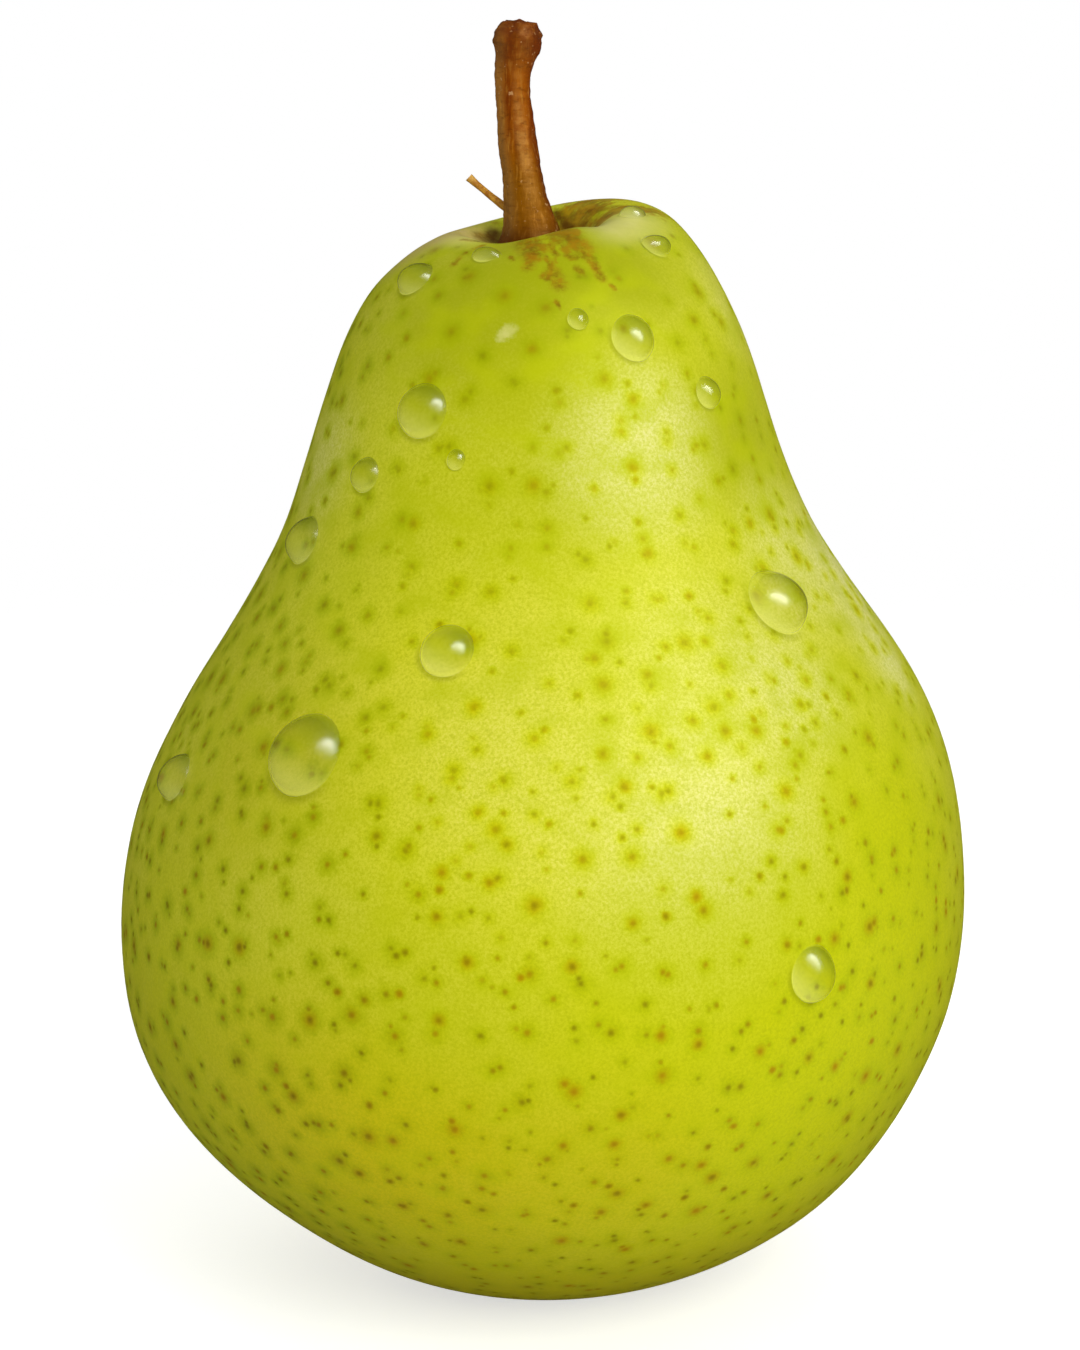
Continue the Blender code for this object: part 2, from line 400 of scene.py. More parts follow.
def lenticel_marks(tree, geometry, inputs, kind):
    """Scatters one kind of lenticel and notes on every face where the nearest one is."""
    place = tree.add("GeometryNodeInputPosition")
    height = tree.axes(place)[2]
    thin_neck = tree.ease(height, 0.088, 0.050) * 0.28 + 0.72
    dense_foot = 1 + tree.ease(height, 0.030, 0.008) * 0.6
    dense_side = 1 + tree.ease(tree.maths("ABSOLUTE", tree.axes(place)[0]), 0.016, 0.030) * 0.6
    patchy = tree.ease(tree.noise(place, 90.0, 1.0), 0.32, 0.55)
    density = thin_neck * dense_foot * dense_side * (0.45 + 0.55 * patchy) * inputs.out(f"{kind} share")
    spots = tree.add(
        "GeometryNodeDistributePointsOnFaces",
        {"distribute_method": "POISSON"},
        {
            "Mesh": geometry,
            "Distance Min": inputs.out(f"{kind} apart"),
            "Density Max": 6.0e5,
            "Density Factor": density,
            "Seed": inputs.out(f"{kind} seed"),
        },
    )
    size = tree.add(
        "FunctionNodeRandomValue",
        {"data_type": "FLOAT"},
        {"Min": 0.0, "Max": 1.0, "Seed": inputs.out(f"{kind} seed")},
    )
    return note_nearest(tree, geometry, spots, kind, size)


def skin_tree(material, beads):
    """Uneven growth of the skin, its lenticels, and where the beads of water are."""
    sizes = {"Swell": 0.00016, "Ripple": 0.00003}
    for kind, facts in LENTICELS.items():
        sizes[f"{kind} apart"] = facts["apart"] * MM
        sizes[f"{kind} share"] = facts["share"]
        sizes[f"{kind} seed"] = facts["seed"]
    group, tree, inputs = geometry_tree("grown_skin", sizes)
    place = tree.add("GeometryNodeInputPosition")
    height = tree.axes(place)[2]
    away_from_foot = tree.ease(height, 0.001, 0.010)
    below_rim = tree.ease(height, 0.0965, 0.088)
    swell = (tree.noise(place, 55.0, 1.5) - 0.5) * inputs.out("Swell") * 2
    ripple = (tree.noise(place, 260.0, 1.0) - 0.5) * inputs.out("Ripple") * 2
    rise = (swell + ripple) * away_from_foot * (0.2 + 0.8 * below_rim)
    offset = tree.vector("SCALE", tree.add("GeometryNodeInputNormal"), rise)
    skin = tree.add("GeometryNodeSetPosition", None, {"Geometry": inputs, "Offset": offset})
    for kind in LENTICELS:
        skin = lenticel_marks(tree, skin, inputs, kind)
    drops = tree.add("GeometryNodeObjectInfo", None, {"Object": beads}, "Geometry")
    width = tree.add("GeometryNodeInputNamedAttribute", {"data_type": "FLOAT"}, {"Name": "tall"})
    skin = note_nearest(tree, skin, drops, "bead", width)
    close_tree(tree, skin, material)
    return group, sizes


def segment_distance(tree, place, start, end):
    """Distance in millimetres from a place to the straight line between two points."""
    run = Vector(end) - Vector(start)
    from_start = tree.vector("SUBTRACT", place, start)
    along = tree.vector("DOT_PRODUCT", from_start, tuple(run), output="Value")
    share = tree.add("ShaderNodeClamp", None, {0: along / run.length_squared})
    nearest = tree.vector("SCALE", tuple(run), share)
    return tree.vector("DISTANCE", from_start, nearest, output="Value")


def spot(tree, place, centre, radius, edge=0.5):
    """1 inside a soft ball round the centre, in millimetres, and 0 outside it."""
    far = tree.vector("DISTANCE", place, centre, output="Value")
    return tree.ease(far, radius * (1 + edge), radius * (1 - edge))


def skin_material():
    material, tree, shader, place = new_material(
        "pear_skin_finish",
        IOR=1.38,
        Specular_Tint=(1.0, 1.0, 0.2, 1.0),
        Subsurface_Weight=0.12,
        Subsurface_Radius=(1.0, 0.85, 0.12),
        Subsurface_Scale=0.0025,
    )
    x, y, z = tree.axes(place)
    stem_foot = cut_centre(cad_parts["stem"].data, STEM_LEAVES_SKIN * MM)[0] / MM

    # Ground colour: yellow green, with greener clouds and a fine grain
    bent = tree.add("ShaderNodeTexNoise", None, {"Vector": place, "Scale": 0.09}, "Color")
    turned = tree.vector("MULTIPLY_ADD", bent, (22.0, 22.0, 22.0), place)
    clouds = tree.ease(tree.noise(turned, 0.06, 4.0, 0.6), 0.36, 0.64)
    behind = tree.ease(y, -12.0, 8.0)
    low_down = tree.ease(z, 54.0, 22.0)
    colour = tree.blend(clouds * (0.55 + 0.45 * behind), rgb(211, 213, 50), rgb(197, 203, 8))
    colour = tree.blend(low_down * 0.75, colour, rgb(190, 190, 4))
    # Some pale and bright clouds are painted sheen
    for centre, radius, share, tint in CLOUDS:
        cloud = spot(tree, place, centre, radius, 0.8)
        colour = tree.blend(cloud * share, colour, rgb(*CLOUD_TINTS[tint]))
    grain = tree.noise(place, 3.7, 3.0, 0.8)
    colour = tree.blend(tree.ease(grain, 0.44, 0.74) * 0.85, colour, GRAIN_STAIN, "MULTIPLY")
    colour = tree.blend(tree.ease(grain, 0.56, 0.28) * 0.46, colour, rgb(170, 176, 0))
    mottle = tree.noise(tree.vector("MULTIPLY", place, (0.8, 0.8, 1.2)), 0.30, 1.5, 0.5)
    on_neck = tree.ease(z, 44.0, 62.0)
    colour = tree.blend(tree.ease(mottle, 0.42, 0.72) * (0.25 + 0.30 * on_neck), colour, rgb(190, 199, 0))

    # Foot
    foot = tree.ease(z, 16.0, 1.0)
    colour = tree.blend(foot * 0.75, colour, rgb(188, 176, 0))

    # Lenticels: a soft green halo with a corky core
    ragged = (tree.noise(place, 1.9, 3.0, 0.65) - 0.5) * 0.95
    corky = tree.ease(z, 62.0, 36.0) * 0.55 + 0.40
    halo, inner, core, bark = 0.0, 0.0, 0.0, 0.0
    for kind, facts in LENTICELS.items():
        mark = tree.add("ShaderNodeAttribute", {"attribute_name": f"{kind}_centre"}, None, "Vector")
        size = tree.add("ShaderNodeAttribute", {"attribute_name": f"{kind}_size"}, None, "Fac")
        centre = tree.vector("SCALE", mark, 1 / MM)
        far = tree.vector("DISTANCE", place, centre, output="Value")
        grown = 0.70 + 0.50 * size
        stain = tree.ease((far + ragged) / grown, facts["halo"], facts["halo"] * 0.1)
        halo = tree.maths("MAXIMUM", stain * (0.70 + 0.30 * size), halo)
        stain = tree.ease((far + ragged * 0.6) / grown, facts["halo"] * 0.55, 0.0)
        inner = tree.maths("MAXIMUM", stain * (0.40 + 0.60 * size), inner)
        dot = tree.ease((far + ragged * 0.25) / grown, facts["core"] * 1.6, 0.0)
        dot = dot * (tree.ease(size, 0.05, 0.50) * 0.50 + 0.35) * corky
        core = tree.maths("MAXIMUM", dot, core)
        bark = tree.maths("MAXIMUM", stain * tree.ease(size, 0.72, 0.95) * corky, bark)
    # On the shaded left side the halos are darkened once more and the cores made stronger: painted shade
    on_shaded_left = tree.ease(x, -8.0, -20.0)
    colour = tree.blend(halo, colour, HALO_STAIN, "MULTIPLY")
    colour = tree.blend(halo * on_shaded_left * 0.9, colour, SHADED_LEFT_HALO_STAIN, "MULTIPLY")
    colour = tree.blend(inner, colour, INNER_STAIN, "MULTIPLY")
    colour = tree.blend(bark * 0.45, colour, rgb(196, 138, 0))
    tone = tree.ease(tree.noise(place, 0.24, 1.0), 0.40, 0.60)
    corky_tone = tree.blend(tone, rgb(124, 106, 0), rgb(166, 118, 0))
    colour = tree.blend(core * (0.85 + 0.20 * on_shaded_left), colour, corky_tone)
    cork = core

    # Russet that spreads from the stem in streaks, with painted sheen on the rim's crest and painted shade by
    # the stem's foot
    out_x, out_y = x - stem_foot.x, y - stem_foot.y
    rho = tree.maths("SQRT", out_x * out_x + out_y * out_y)
    way_x, way_y = out_x / rho, out_y / rho
    swept = tree.add("ShaderNodeCombineXYZ", None, {0: way_x * 4.6, 1: way_y * 4.6, 2: rho * 0.20})
    streaks = tree.noise(swept, 1.0, 3.0, 0.6, 0.5)
    blots = tree.noise(place, 0.9, 3.0, 0.6)
    on_top = tree.ease(z, 87.5, 91.5)
    front = tree.ease(way_x * 0.20 - way_y * 0.98, 0.90, 1.0) * 0.8
    back = tree.ease(way_x * 0.80 + way_y * 0.60, 0.62, 0.95)
    sector = tree.maths("MAXIMUM", front, back)
    reach = tree.ease(rho, 16.5, 8.0)
    # A pale band along the rim's crest: partly the rim's paler skin, partly painted sheen where the crest
    # catches the light
    pale_rim_and_sheen = tree.ease(rho, 14.0, 8.5) * tree.ease(z, 94.2, 95.8) * tree.ease(y, 2.0, -4.0)
    pale_rim_and_sheen = pale_rim_and_sheen * tree.ease(tree.maths("ABSOLUTE", way_x), 0.40, 0.80)
    colour = tree.blend(pale_rim_and_sheen * (0.60 + 0.5 * blots), colour, rgb(236, 232, 130))
    left_bank = spot(tree, place, (-9.0, 0.5, 94.5), 5.0, 0.6)
    colour = tree.blend(left_bank * (0.45 + 0.5 * blots), colour, rgb(216, 190, 122))
    amount = reach * (0.04 + 0.96 * sector) * on_top
    rust = tree.ease(streaks * 0.62 + blots * 0.38 + amount * 0.16, 0.57, 0.70)
    rust = rust * tree.ease(amount, 0.0, 0.45)
    rusty = tree.blend(tree.ease(blots, 0.35, 0.65), rgb(122, 80, 0), rgb(166, 118, 4))
    colour = tree.blend(rust * 0.75, colour, rusty)
    worn = 0.55 + 0.55 * tree.ease(tree.noise(place, 2.6, 3.0, 0.6), 0.36, 0.60)
    for start, end, width in DRIPS:
        far = segment_distance(tree, place, start, end) + ragged * 0.7
        drip = tree.ease(far, width * 1.35, width * 0.1) * worn
        colour = tree.blend(drip * 0.72, colour, rusty)
        cork = tree.maths("MAXIMUM", drip * 0.6, cork)
    # Painted shade in the creases beside the stem
    for start, end, width in PAINTED_CREASE_SHADE:
        far = segment_distance(tree, place, start, end) + ragged * 0.7
        colour = tree.blend(tree.ease(far, width * 1.3, 0.0) * 0.9, colour, rgb(84, 40, 0))
    # Near the stem's foot: russet, darkened further by painted shade where the stem meets the skin
    near_stem_russet_and_shade = tree.ease(rho + blots * 2.6, 8.0, 5.0) * on_top
    colour = tree.blend(near_stem_russet_and_shade * (0.4 + 0.6 * streaks), colour, rgb(104, 62, 2))
    for centre, radius in PALE_SCARS:
        far = tree.vector("DISTANCE", place, centre, output="Value") + ragged
        colour = tree.blend(tree.ease(far, radius, radius * 0.3) * 0.65, colour, rgb(214, 212, 120))

    # Under a bead of water: a painted caustic of light at its lower left, painted shade at its upper right,
    # and a painted shadow just outside its lower left
    mark = tree.add("ShaderNodeAttribute", {"attribute_name": "bead_centre"}, None, "Vector")
    width = tree.add("ShaderNodeAttribute", {"attribute_name": "bead_size"}, None, "Fac")
    from_bead = tree.vector("SUBTRACT", place, tree.vector("SCALE", mark, 1 / MM))
    off_centre = tree.vector("LENGTH", from_bead, output="Value") / (width / (2 * MM))
    side = tree.vector("DOT_PRODUCT", from_bead, PAINTED_CAUSTIC_TOWARDS, output="Value") / (width / (2 * MM))
    under = tree.ease(off_centre, 1.02, 0.96)
    painted_caustic = tree.ease(side, -0.1, 0.75) * under
    painted_bead_shade = tree.ease(side, 0.1, -0.85) * under
    painted_bead_shadow = tree.ease(off_centre, 1.28, 1.0) * (1 - under) * tree.ease(side, 0.0, 0.9)
    # Painted caustic, painted shade inside the bead, painted shadow beside it
    colour = tree.blend(painted_caustic * 0.40, colour, rgb(248, 250, 126))
    colour = tree.blend(painted_bead_shade * 0.75, colour, rgb(138, 150, 0))
    colour = tree.blend(painted_bead_shadow * 0.45, colour, rgb(120, 126, 0))

    tree.put(shader, "Base Color", colour)
    cork = tree.maths("MAXIMUM", cork, rust)
    uneven = tree.noise(place, 0.35, 2.0)
    tree.put(shader, "Roughness", 0.33 + uneven * 0.12 + cork * 0.22)
    pores = tree.noise(place, 1.6, 3.0, 0.6)
    bump(tree, shader, pores * 0.5 + cork * 0.5, 0.04 * MM, 0.5)
    return material


def make_skin(beads):
    material = skin_material()
    cage = scratch_object("cage", skin_cage())
    smooth = cage.modifiers.new("rounding", "SUBSURF")
    smooth.levels = SKIN_HALVINGS
    smooth.render_levels = SKIN_HALVINGS
    keep_through_corners(cage)
    group, sizes = skin_tree(material, beads)
    mesh = grow(cage, group, sizes)
    bpy.data.objects.remove(cage)
    return add_piece("skin", mesh, ["fruit"])


# ---------------------------------------------------------------- stem and leaf stalk


def cut_centre(mesh, height):
    """Middle and half width of a CAD piece where a level plane cuts it."""
    work = bmesh.new()
    work.from_mesh(mesh)
    bmesh.ops.remove_doubles(work, verts=work.verts, dist=0.001 * MM)
    parts = work.verts[:] + work.edges[:] + work.faces[:]
    cut = bmesh.ops.bisect_plane(work, geom=parts, plane_co=(0, 0, height), plane_no=(0, 0, 1))
    spots = [part.co.copy() for part in cut["geom_cut"] if isinstance(part, bmesh.types.BMVert)]
    work.free()
    low = Vector([min(spot[axis] for spot in spots) for axis in range(3)])
    high = Vector([max(spot[axis] for spot in spots) for axis in range(3)])
    return (low + high) / 2, (high.y - low.y) / 2


def path_curve(name, line):
    """A curve object through (point, radius) pairs."""
    curve = bpy.data.curves.new(name, "CURVE")
    curve.dimensions = "3D"
    spline = curve.splines.new("POLY")
    spline.points.add(len(line) - 1)
    for knot, (point, radius) in zip(spline.points, line):
        knot.co = (*point, 1.0)
        knot.radius = radius
    return scratch_object(name, curve)


def bark_tree(name, material, sizes):
    """A woody shoot swept along a curve: ridges along it, wrinkles across it, a knobby end."""
    group, tree, inputs = geometry_tree(name, sizes)
    even = tree.add("GeometryNodeResampleCurve", None, {"Curve": inputs, "Count": inputs.out("Rings")})
    ring = tree.add(
        "GeometryNodeCurvePrimitiveCircle", None, {"Resolution": inputs.out("Sides"), "Radius": 1.0}
    )
    thick = tree.add("GeometryNodeInputNamedAttribute", {"data_type": "FLOAT"}, {"Name": "radius"})
    shoot = tree.add(
        "GeometryNodeCurveToMesh",
        None,
        {"Curve": even, "Profile Curve": ring, "Scale": thick, "Fill Caps": True},
    )
    place = tree.vector("SCALE", tree.add("GeometryNodeInputPosition"), 1 / MM)
    height = tree.axes(place)[2]
    lengthwise = tree.vector("MULTIPLY", place, (1.0, 1.0, 0.10))
    crosswise = tree.vector("MULTIPLY", place, (0.25, 0.25, 1.0))
    ridges = (tree.noise(lengthwise, 0.75, 2.0) - 0.5) * inputs.out("Ridge")
    wrinkles = (tree.noise(crosswise, 1.7, 2.0) - 0.5) * inputs.out("Wrinkle")
    end = tree.ease(height, inputs.out("Knob start"), inputs.out("Knob end"))
    lumps = (tree.noise(place, 0.62, 2.0) - 0.45) * inputs.out("Knob") * end
    offset = tree.vector("SCALE", tree.add("GeometryNodeInputNormal"), ridges + wrinkles + lumps)
    noted = tree.add(
        "GeometryNodeStoreNamedAttribute",
        {"data_type": "FLOAT_VECTOR", "domain": "POINT"},
        {"Geometry": shoot, "Name": "facing", "Value": tree.add("GeometryNodeInputNormal")},
    )
    rough = tree.add("GeometryNodeSetPosition", None, {"Geometry": noted, "Offset": offset})
    close_tree(tree, rough, material)
    return group


def stem_material():
    material, tree, shader, place = new_material(
        "stem_bark_finish", IOR=1.45, Specular_Tint=(1.0, 0.66, 0.20, 1.0)
    )
    z = tree.axes(place)[2]
    lengthwise = tree.vector("MULTIPLY", place, (1.0, 1.0, 0.14))
    crosswise = tree.vector("MULTIPLY", place, (0.4, 0.4, 1.0))
    streak = tree.noise(lengthwise, 1.1, 4.0, 0.6, 0.3)
    colour = tree.blend(tree.ease(streak, 0.36, 0.64), rgb(116, 47, 0), rgb(154, 80, 0))
    low = tree.ease(z, 105.0, 99.0)
    colour = tree.blend(low * 0.75, colour, rgb(134, 84, 0))
    facing = tree.add("ShaderNodeAttribute", {"attribute_name": "facing"}, None, "Vector")
    right = tree.axes(facing)[0]
    # A lighter band on the stem's front right, set by which way the surface faces: painted sheen
    painted_sheen_band = tree.ease(right, -0.20, 0.20) * tree.ease(right, 0.75, 0.35) * tree.ease(z, 97.0, 102.0)
    painted_sheen_band = painted_sheen_band * (1 - 0.7 * tree.ease(z, 104.5, 108.0))
    broken = tree.ease(tree.noise(crosswise, 1.4, 4.0, 0.7), 0.34, 0.60)
    colour = tree.blend(painted_sheen_band * (0.10 + 0.42 * broken), colour, rgb(200, 142, 66))
    # Right-facing edge darker: painted shade; left-facing side paler and greyer: painted sheen
    colour = tree.blend(tree.ease(right, 0.60, 0.95) * 0.75, colour, rgb(104, 36, 0))
    colour = tree.blend(tree.ease(right, -0.30, -0.85) * 0.65, colour, rgb(172, 122, 52))
    fibre = tree.noise(lengthwise, 3.2, 3.0, 0.6)
    colour = tree.blend(tree.ease(fibre, 0.52, 0.72) * 0.55, colour, rgb(188, 128, 44))
    ring = tree.noise(crosswise, 2.6, 3.0, 0.6)
    colour = tree.blend(tree.ease(ring, 0.46, 0.30) * 0.45, colour, rgb(88, 38, 4))
    # Darker towards the foot, where it sinks into the socket: painted shade
    foot = tree.ease(z, 97.0, 94.6)
    colour = tree.blend(foot * 0.8, colour, rgb(80, 32, 0))
    torn = tree.ease(z, 111.6, 113.4) * tree.ease(tree.noise(place, 1.2, 3.0), 0.36, 0.62)
    colour = tree.blend(torn * 0.55, colour, rgb(92, 44, 26))
    knob = tree.ease(z, 108.6, 111.0)
    colour = tree.blend(knob * 0.45, colour, rgb(104, 46, 14))
    # Pale specks: partly the bark's own specks, partly painted glints
    specks_and_glints = tree.ease(tree.noise(place, 2.3, 2.0), 0.66, 0.76)
    colour = tree.blend(specks_and_glints * 0.6, colour, rgb(206, 160, 104))
    tree.put(shader, "Base Color", colour)
    tree.put(shader, "Roughness", 0.26 + ring * 0.2)
    bump(tree, shader, streak * 0.5 + fibre * 0.3 + ring * 0.35, 0.16 * MM, 0.7)
    return material


def make_stem():
    """The stem follows the CAD stem's middle line; its foot swells to meet the socket."""
    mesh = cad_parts["stem"].data
    low = STEM_LOW.z + 0.4 * MM
    high = STEM_HIGH.z - 0.25 * MM
    line = []
    for cut in range(STEM_CUTS):
        centre, radius = cut_centre(mesh, low + (high - low) * cut / (STEM_CUTS - 1))
        above_flare = (centre.z / MM - STEM_FLARE_HEIGHT) / STEM_FLARE_SPREAD
        line.append((centre, radius + STEM_FLARE * MM * math.exp(-(above_flare**2))))
    tip, tip_radius = line[-1]
    line.append((tip + Vector((0.0, 0.0, 0.10 * MM)), tip_radius * 0.86))
    line.append((tip + Vector((0.0, 0.0, 0.18 * MM)), tip_radius * 0.50))
    path = path_curve("stem_path", line)
    sizes = {
        "Rings": 150,
        "Sides": 44,
        "Ridge": 0.00055,
        "Wrinkle": 0.00022,
        "Knob": 0.0012,
        "Knob start": 110.2,
        "Knob end": 112.6,
    }
    mesh = grow(path, bark_tree("woody_stem", stem_material(), sizes), sizes)
    bpy.data.objects.remove(path)
    return add_piece("stem_bark", mesh, ["stem"])


def stalk_material():
    material, tree, shader, place = new_material("stalk_fibre_finish", IOR=1.5)
    lengthwise = tree.vector("MULTIPLY", place, (0.35, 1.4, 0.35))
    fibre = tree.noise(lengthwise, 3.5, 3.0, 0.6)
    colour = tree.blend(tree.ease(fibre, 0.38, 0.62), rgb(170, 104, 6), rgb(214, 158, 44))
    cut = tree.ease(tree.axes(place)[2], 99.5, 100.2)
    colour = tree.blend(cut * 0.5, colour, rgb(226, 184, 96))
    tree.put(shader, "Base Color", colour)
    tree.put(shader, "Roughness", 0.45 + fibre * 0.2)
    bump(tree, shader, fibre, 0.05 * MM, 0.6)
    return material


def make_leaf_stalk():
    """The cut stub of the leaf's stalk, from the stem's side to its slanting cut."""
    foot = Vector((STALK_HIGH.x + 0.75 * MM, STALK_LOW.y + 0.1 * MM, STALK_LOW.z - 0.35 * MM))
    middle = Vector((STALK_HIGH.x - 1.1 * MM, STALK_LOW.y + 0.45 * MM, STALK_LOW.z + 0.95 * MM))
    tip = Vector((STALK_LOW.x + 0.15 * MM, STALK_HIGH.y - 0.3 * MM, STALK_HIGH.z - 0.15 * MM))
    line = []
    for step in range(13):
        share = step / 12
        point = foot.lerp(middle, share).lerp(middle.lerp(tip, share), share)
        line.append((point, (0.36 - 0.10 * share + 0.10 * share**6) * MM))
    path = path_curve("stalk_path", line)
    sizes = {
        "Rings": 40,
        "Sides": 14,
        "Ridge": 0.00010,
        "Wrinkle": 0.00004,
        "Knob": 0.00012,
        "Knob start": 99.0,
        "Knob end": 100.0,
    }
    mesh = grow(path, bark_tree("leaf_stalk_stub", stalk_material(), sizes), sizes)
    bpy.data.objects.remove(path)
    return add_piece("stalk_stub", mesh, ["leaf_stalk"])


# ---------------------------------------------------------------- dried flower in the foot


def dried_material():
    material, tree, shader, place = new_material("dried_flower_finish", IOR=1.45)
    fibre = tree.noise(place, 2.2, 4.0, 0.65, 0.4)
    colour = tree.blend(tree.ease(fibre, 0.35, 0.65), rgb(58, 38, 18), rgb(122, 92, 52))
    dust = tree.ease(tree.noise(place, 5.0, 2.0), 0.60, 0.72)
    colour = tree.blend(dust * 0.5, colour, rgb(168, 146, 104))
    tree.put(shader, "Base Color", colour)
    tree.put(shader, "Roughness", 0.70 + fibre * 0.2)
    bump(tree, shader, fibre, 0.15 * MM, 0.8)
    return material


def subdivided(name, mesh, levels, thickness=0.0):
    """The mesh as a smooth shell or solid."""
    thing = scratch_object(name, mesh)
    if thickness:
        shell = thing.modifiers.new("thickness", "SOLIDIFY")
        shell.thickness = thickness
        shell.offset = 0.0
    smooth = thing.modifiers.new("rounding", "SUBSURF")
    smooth.levels = levels
    smooth.render_levels = levels
    bpy.context.view_layer.update()
    done = bpy.data.meshes.new_from_object(thing.evaluated_get(bpy.context.evaluated_depsgraph_get()))
    bpy.data.objects.remove(thing)
    return done


def make_sepal(number, material):
    """A dry sepal: a curled, tapering scale with a wavy edge, in its CAD sepal's place."""
    low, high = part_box(f"sepal_{number}")
    middle = (low + high) / 2
    turn = math.atan2(middle.y, middle.x)
    reach = math.hypot(middle.x, middle.y)
    work = bmesh.new()
    rows = []
    for step in range(7):
        share = step / 6
        half = 0.95 * MM * (1 - share**1.8) ** 0.8 * (0.85 + 0.5 * share) + 0.06 * MM
        out = reach - 1.15 * MM + 2.2 * MM * share
        height = high.z - 0.15 * MM - (1.55 * share**1.6 + 0.12 * math.sin(5 * share + number)) * MM
        row = []
        for side in (-1.0, -0.5, 0.0, 0.5, 1.0):
            wave = 0.10 * MM * math.sin(7 * share + 2.1 * number + 3 * side) * abs(side)
            lift = -0.28 * abs(side) ** 2 * half
            row.append(work.verts.new((out, side * half + wave, height + lift + wave)))
        rows.append(row)
    for inner, outer in zip(rows, rows[1:]):
        for side in range(4):
            work.faces.new((inner[side], outer[side], outer[side + 1], inner[side + 1]))
    mesh = bpy.data.meshes.new(f"dry_sepal_{number}")
    bmesh.ops.transform(work, matrix=Matrix.Rotation(turn, 4, "Z"), verts=work.verts)
    work.to_mesh(mesh)
    work.free()
    mesh = subdivided(f"sepal_form_{number}", mesh, 2, 0.2 * MM)
    return add_piece(f"dry_sepal_{number}", mesh, [f"sepal_{number}"], material)


def turned_mesh(name, outline, sides, wobble=0.0):
    """A closed form turned about Z from (radius, height) points, its rim a little uneven."""
    work = bmesh.new()
    rings = []
    for radius, height in outline:
        if radius == 0.0:
            rings.append([work.verts.new((0.0, 0.0, height))])
            continue
        ring = []
        for side in range(sides):
            angle = 2 * math.pi * side / sides
            uneven = 1 + wobble * math.sin(5 * angle + 900 * height) + wobble * math.sin(2 * angle)
            ring.append(
                work.verts.new((radius * uneven * math.cos(angle), radius * uneven * math.sin(angle), height))
            )
        rings.append(ring)
    for upper, lower in zip(rings, rings[1:]):
        for side in range(sides):
            after = (side + 1) % sides
            corners = [upper[side % len(upper)], lower[side % len(lower)]]
            corners += [lower[after % len(lower)], upper[after % len(upper)]]
            work.faces.new(list(dict.fromkeys(corners)))
    mesh = bpy.data.meshes.new(name)
    work.to_mesh(mesh)
    work.free()
    return mesh


def stamen_tree(material, sizes):
    """Dried stamens: thin bent threads scattered over the inside of the cup."""
    group, tree, inputs = geometry_tree("dried_stamens", sizes)
    roots = tree.add(
        "GeometryNodeDistributePointsOnFaces",
        {"distribute_method": "POISSON"},
        {
            "Mesh": inputs,
            "Distance Min": inputs.out("Apart"),
            "Density Max": 5.0e7,
            "Seed": inputs.out("Seed"),
        },
    )
    thread = tree.add(
        "GeometryNodeMeshCone",
        None,
        {"Vertices": 6, "Radius Top": 0.00005, "Radius Bottom": 0.0001, "Depth": inputs.out("Length")},
    )
    size = tree.add(
        "FunctionNodeRandomValue", {"data_type": "FLOAT"}, {"Min": 0.6, "Max": 1.15, "Seed": 5}
    )
    lean = tree.add(
        "FunctionNodeRandomValue",
        {"data_type": "FLOAT_VECTOR"},
        {"Min": (-0.55, -0.55, 0.0), "Max": (0.55, 0.55, 6.28), "Seed": 8},
    )
    copies = tree.add(
        "GeometryNodeInstanceOnPoints",
        None,
        {"Points": roots, "Instance": thread, "Rotation": lean, "Scale": size},
    )
    close_tree(tree, copies, material)
    return group


def make_calyx():
    material = dried_material()
    wide = (CUP_HIGH.x - CUP_LOW.x) / 2
    tall = CUP_HIGH.z - CUP_LOW.z
    outline = [(0.0, 1.0), (0.45, 0.97), (0.78, 0.70), (0.90, 0.38), (1.0, 0.08), (0.96, 0.0)]
    outline += [(0.86, 0.04), (0.74, 0.34), (0.50, 0.58), (0.0, 0.64)]
    solid = [(radius * wide, CUP_LOW.z + height * tall) for radius, height in outline]
    mesh = subdivided("cup_form", turned_mesh("cup_form", solid, 20, 0.035), 2)
    add_piece("dry_cup", mesh, ["calyx_cup"], material)
    seat = scratch_object("stamen_seat", turned_mesh("seat", [(0.0, 0.0), (0.62 * wide, 0.0)], 12))
    seat.data.transform(Matrix.Translation((0, 0, CUP_LOW.z + 0.42 * tall)))
    sizes = {"Apart": 0.00055, "Length": 0.0013, "Seed": 4}
    threads = grow(seat, stamen_tree(material, sizes), sizes)
    bpy.data.objects.remove(seat)
    add_piece("dry_stamens", threads, [])
    for number in range(1, 6):
        make_sepal(number, material)


# ---------------------------------------------------------------- beads of water


def bead_form(sides=28, rings=9):
    """One bead a unit wide: its height is noted as lift, thicker towards its lower side."""
    contact = math.radians(72)
    ball = 1 / math.sin(contact)
    outline = []
    for ring in range(rings + 1):
        radius = math.sin(math.pi / 2 * ring / rings)
        crown = math.sqrt(max(ball**2 - radius**2, 0.0)) - ball * math.cos(contact)
        outline.append((radius, crown / (ball - ball * math.cos(contact))))
    outline += [(0.94, -0.07), (0.5, -0.07), (0.0, -0.07)]
    mesh = turned_mesh("bead_form", outline, sides)
    lift = mesh.attributes.new("lift", "FLOAT", "POINT")
    for vertex, note in zip(mesh.vertices, lift.data):
        note.value = vertex.co.z * (1 - 0.20 * vertex.co.y)
        vertex.co.z = 0.0
    return mesh


def skin_point(shape, turn, tilt):
    """The place on the skin that lies in that direction from the heart of the pear."""
    return shape.ray_cast(HEART, direction(turn, tilt))[0]


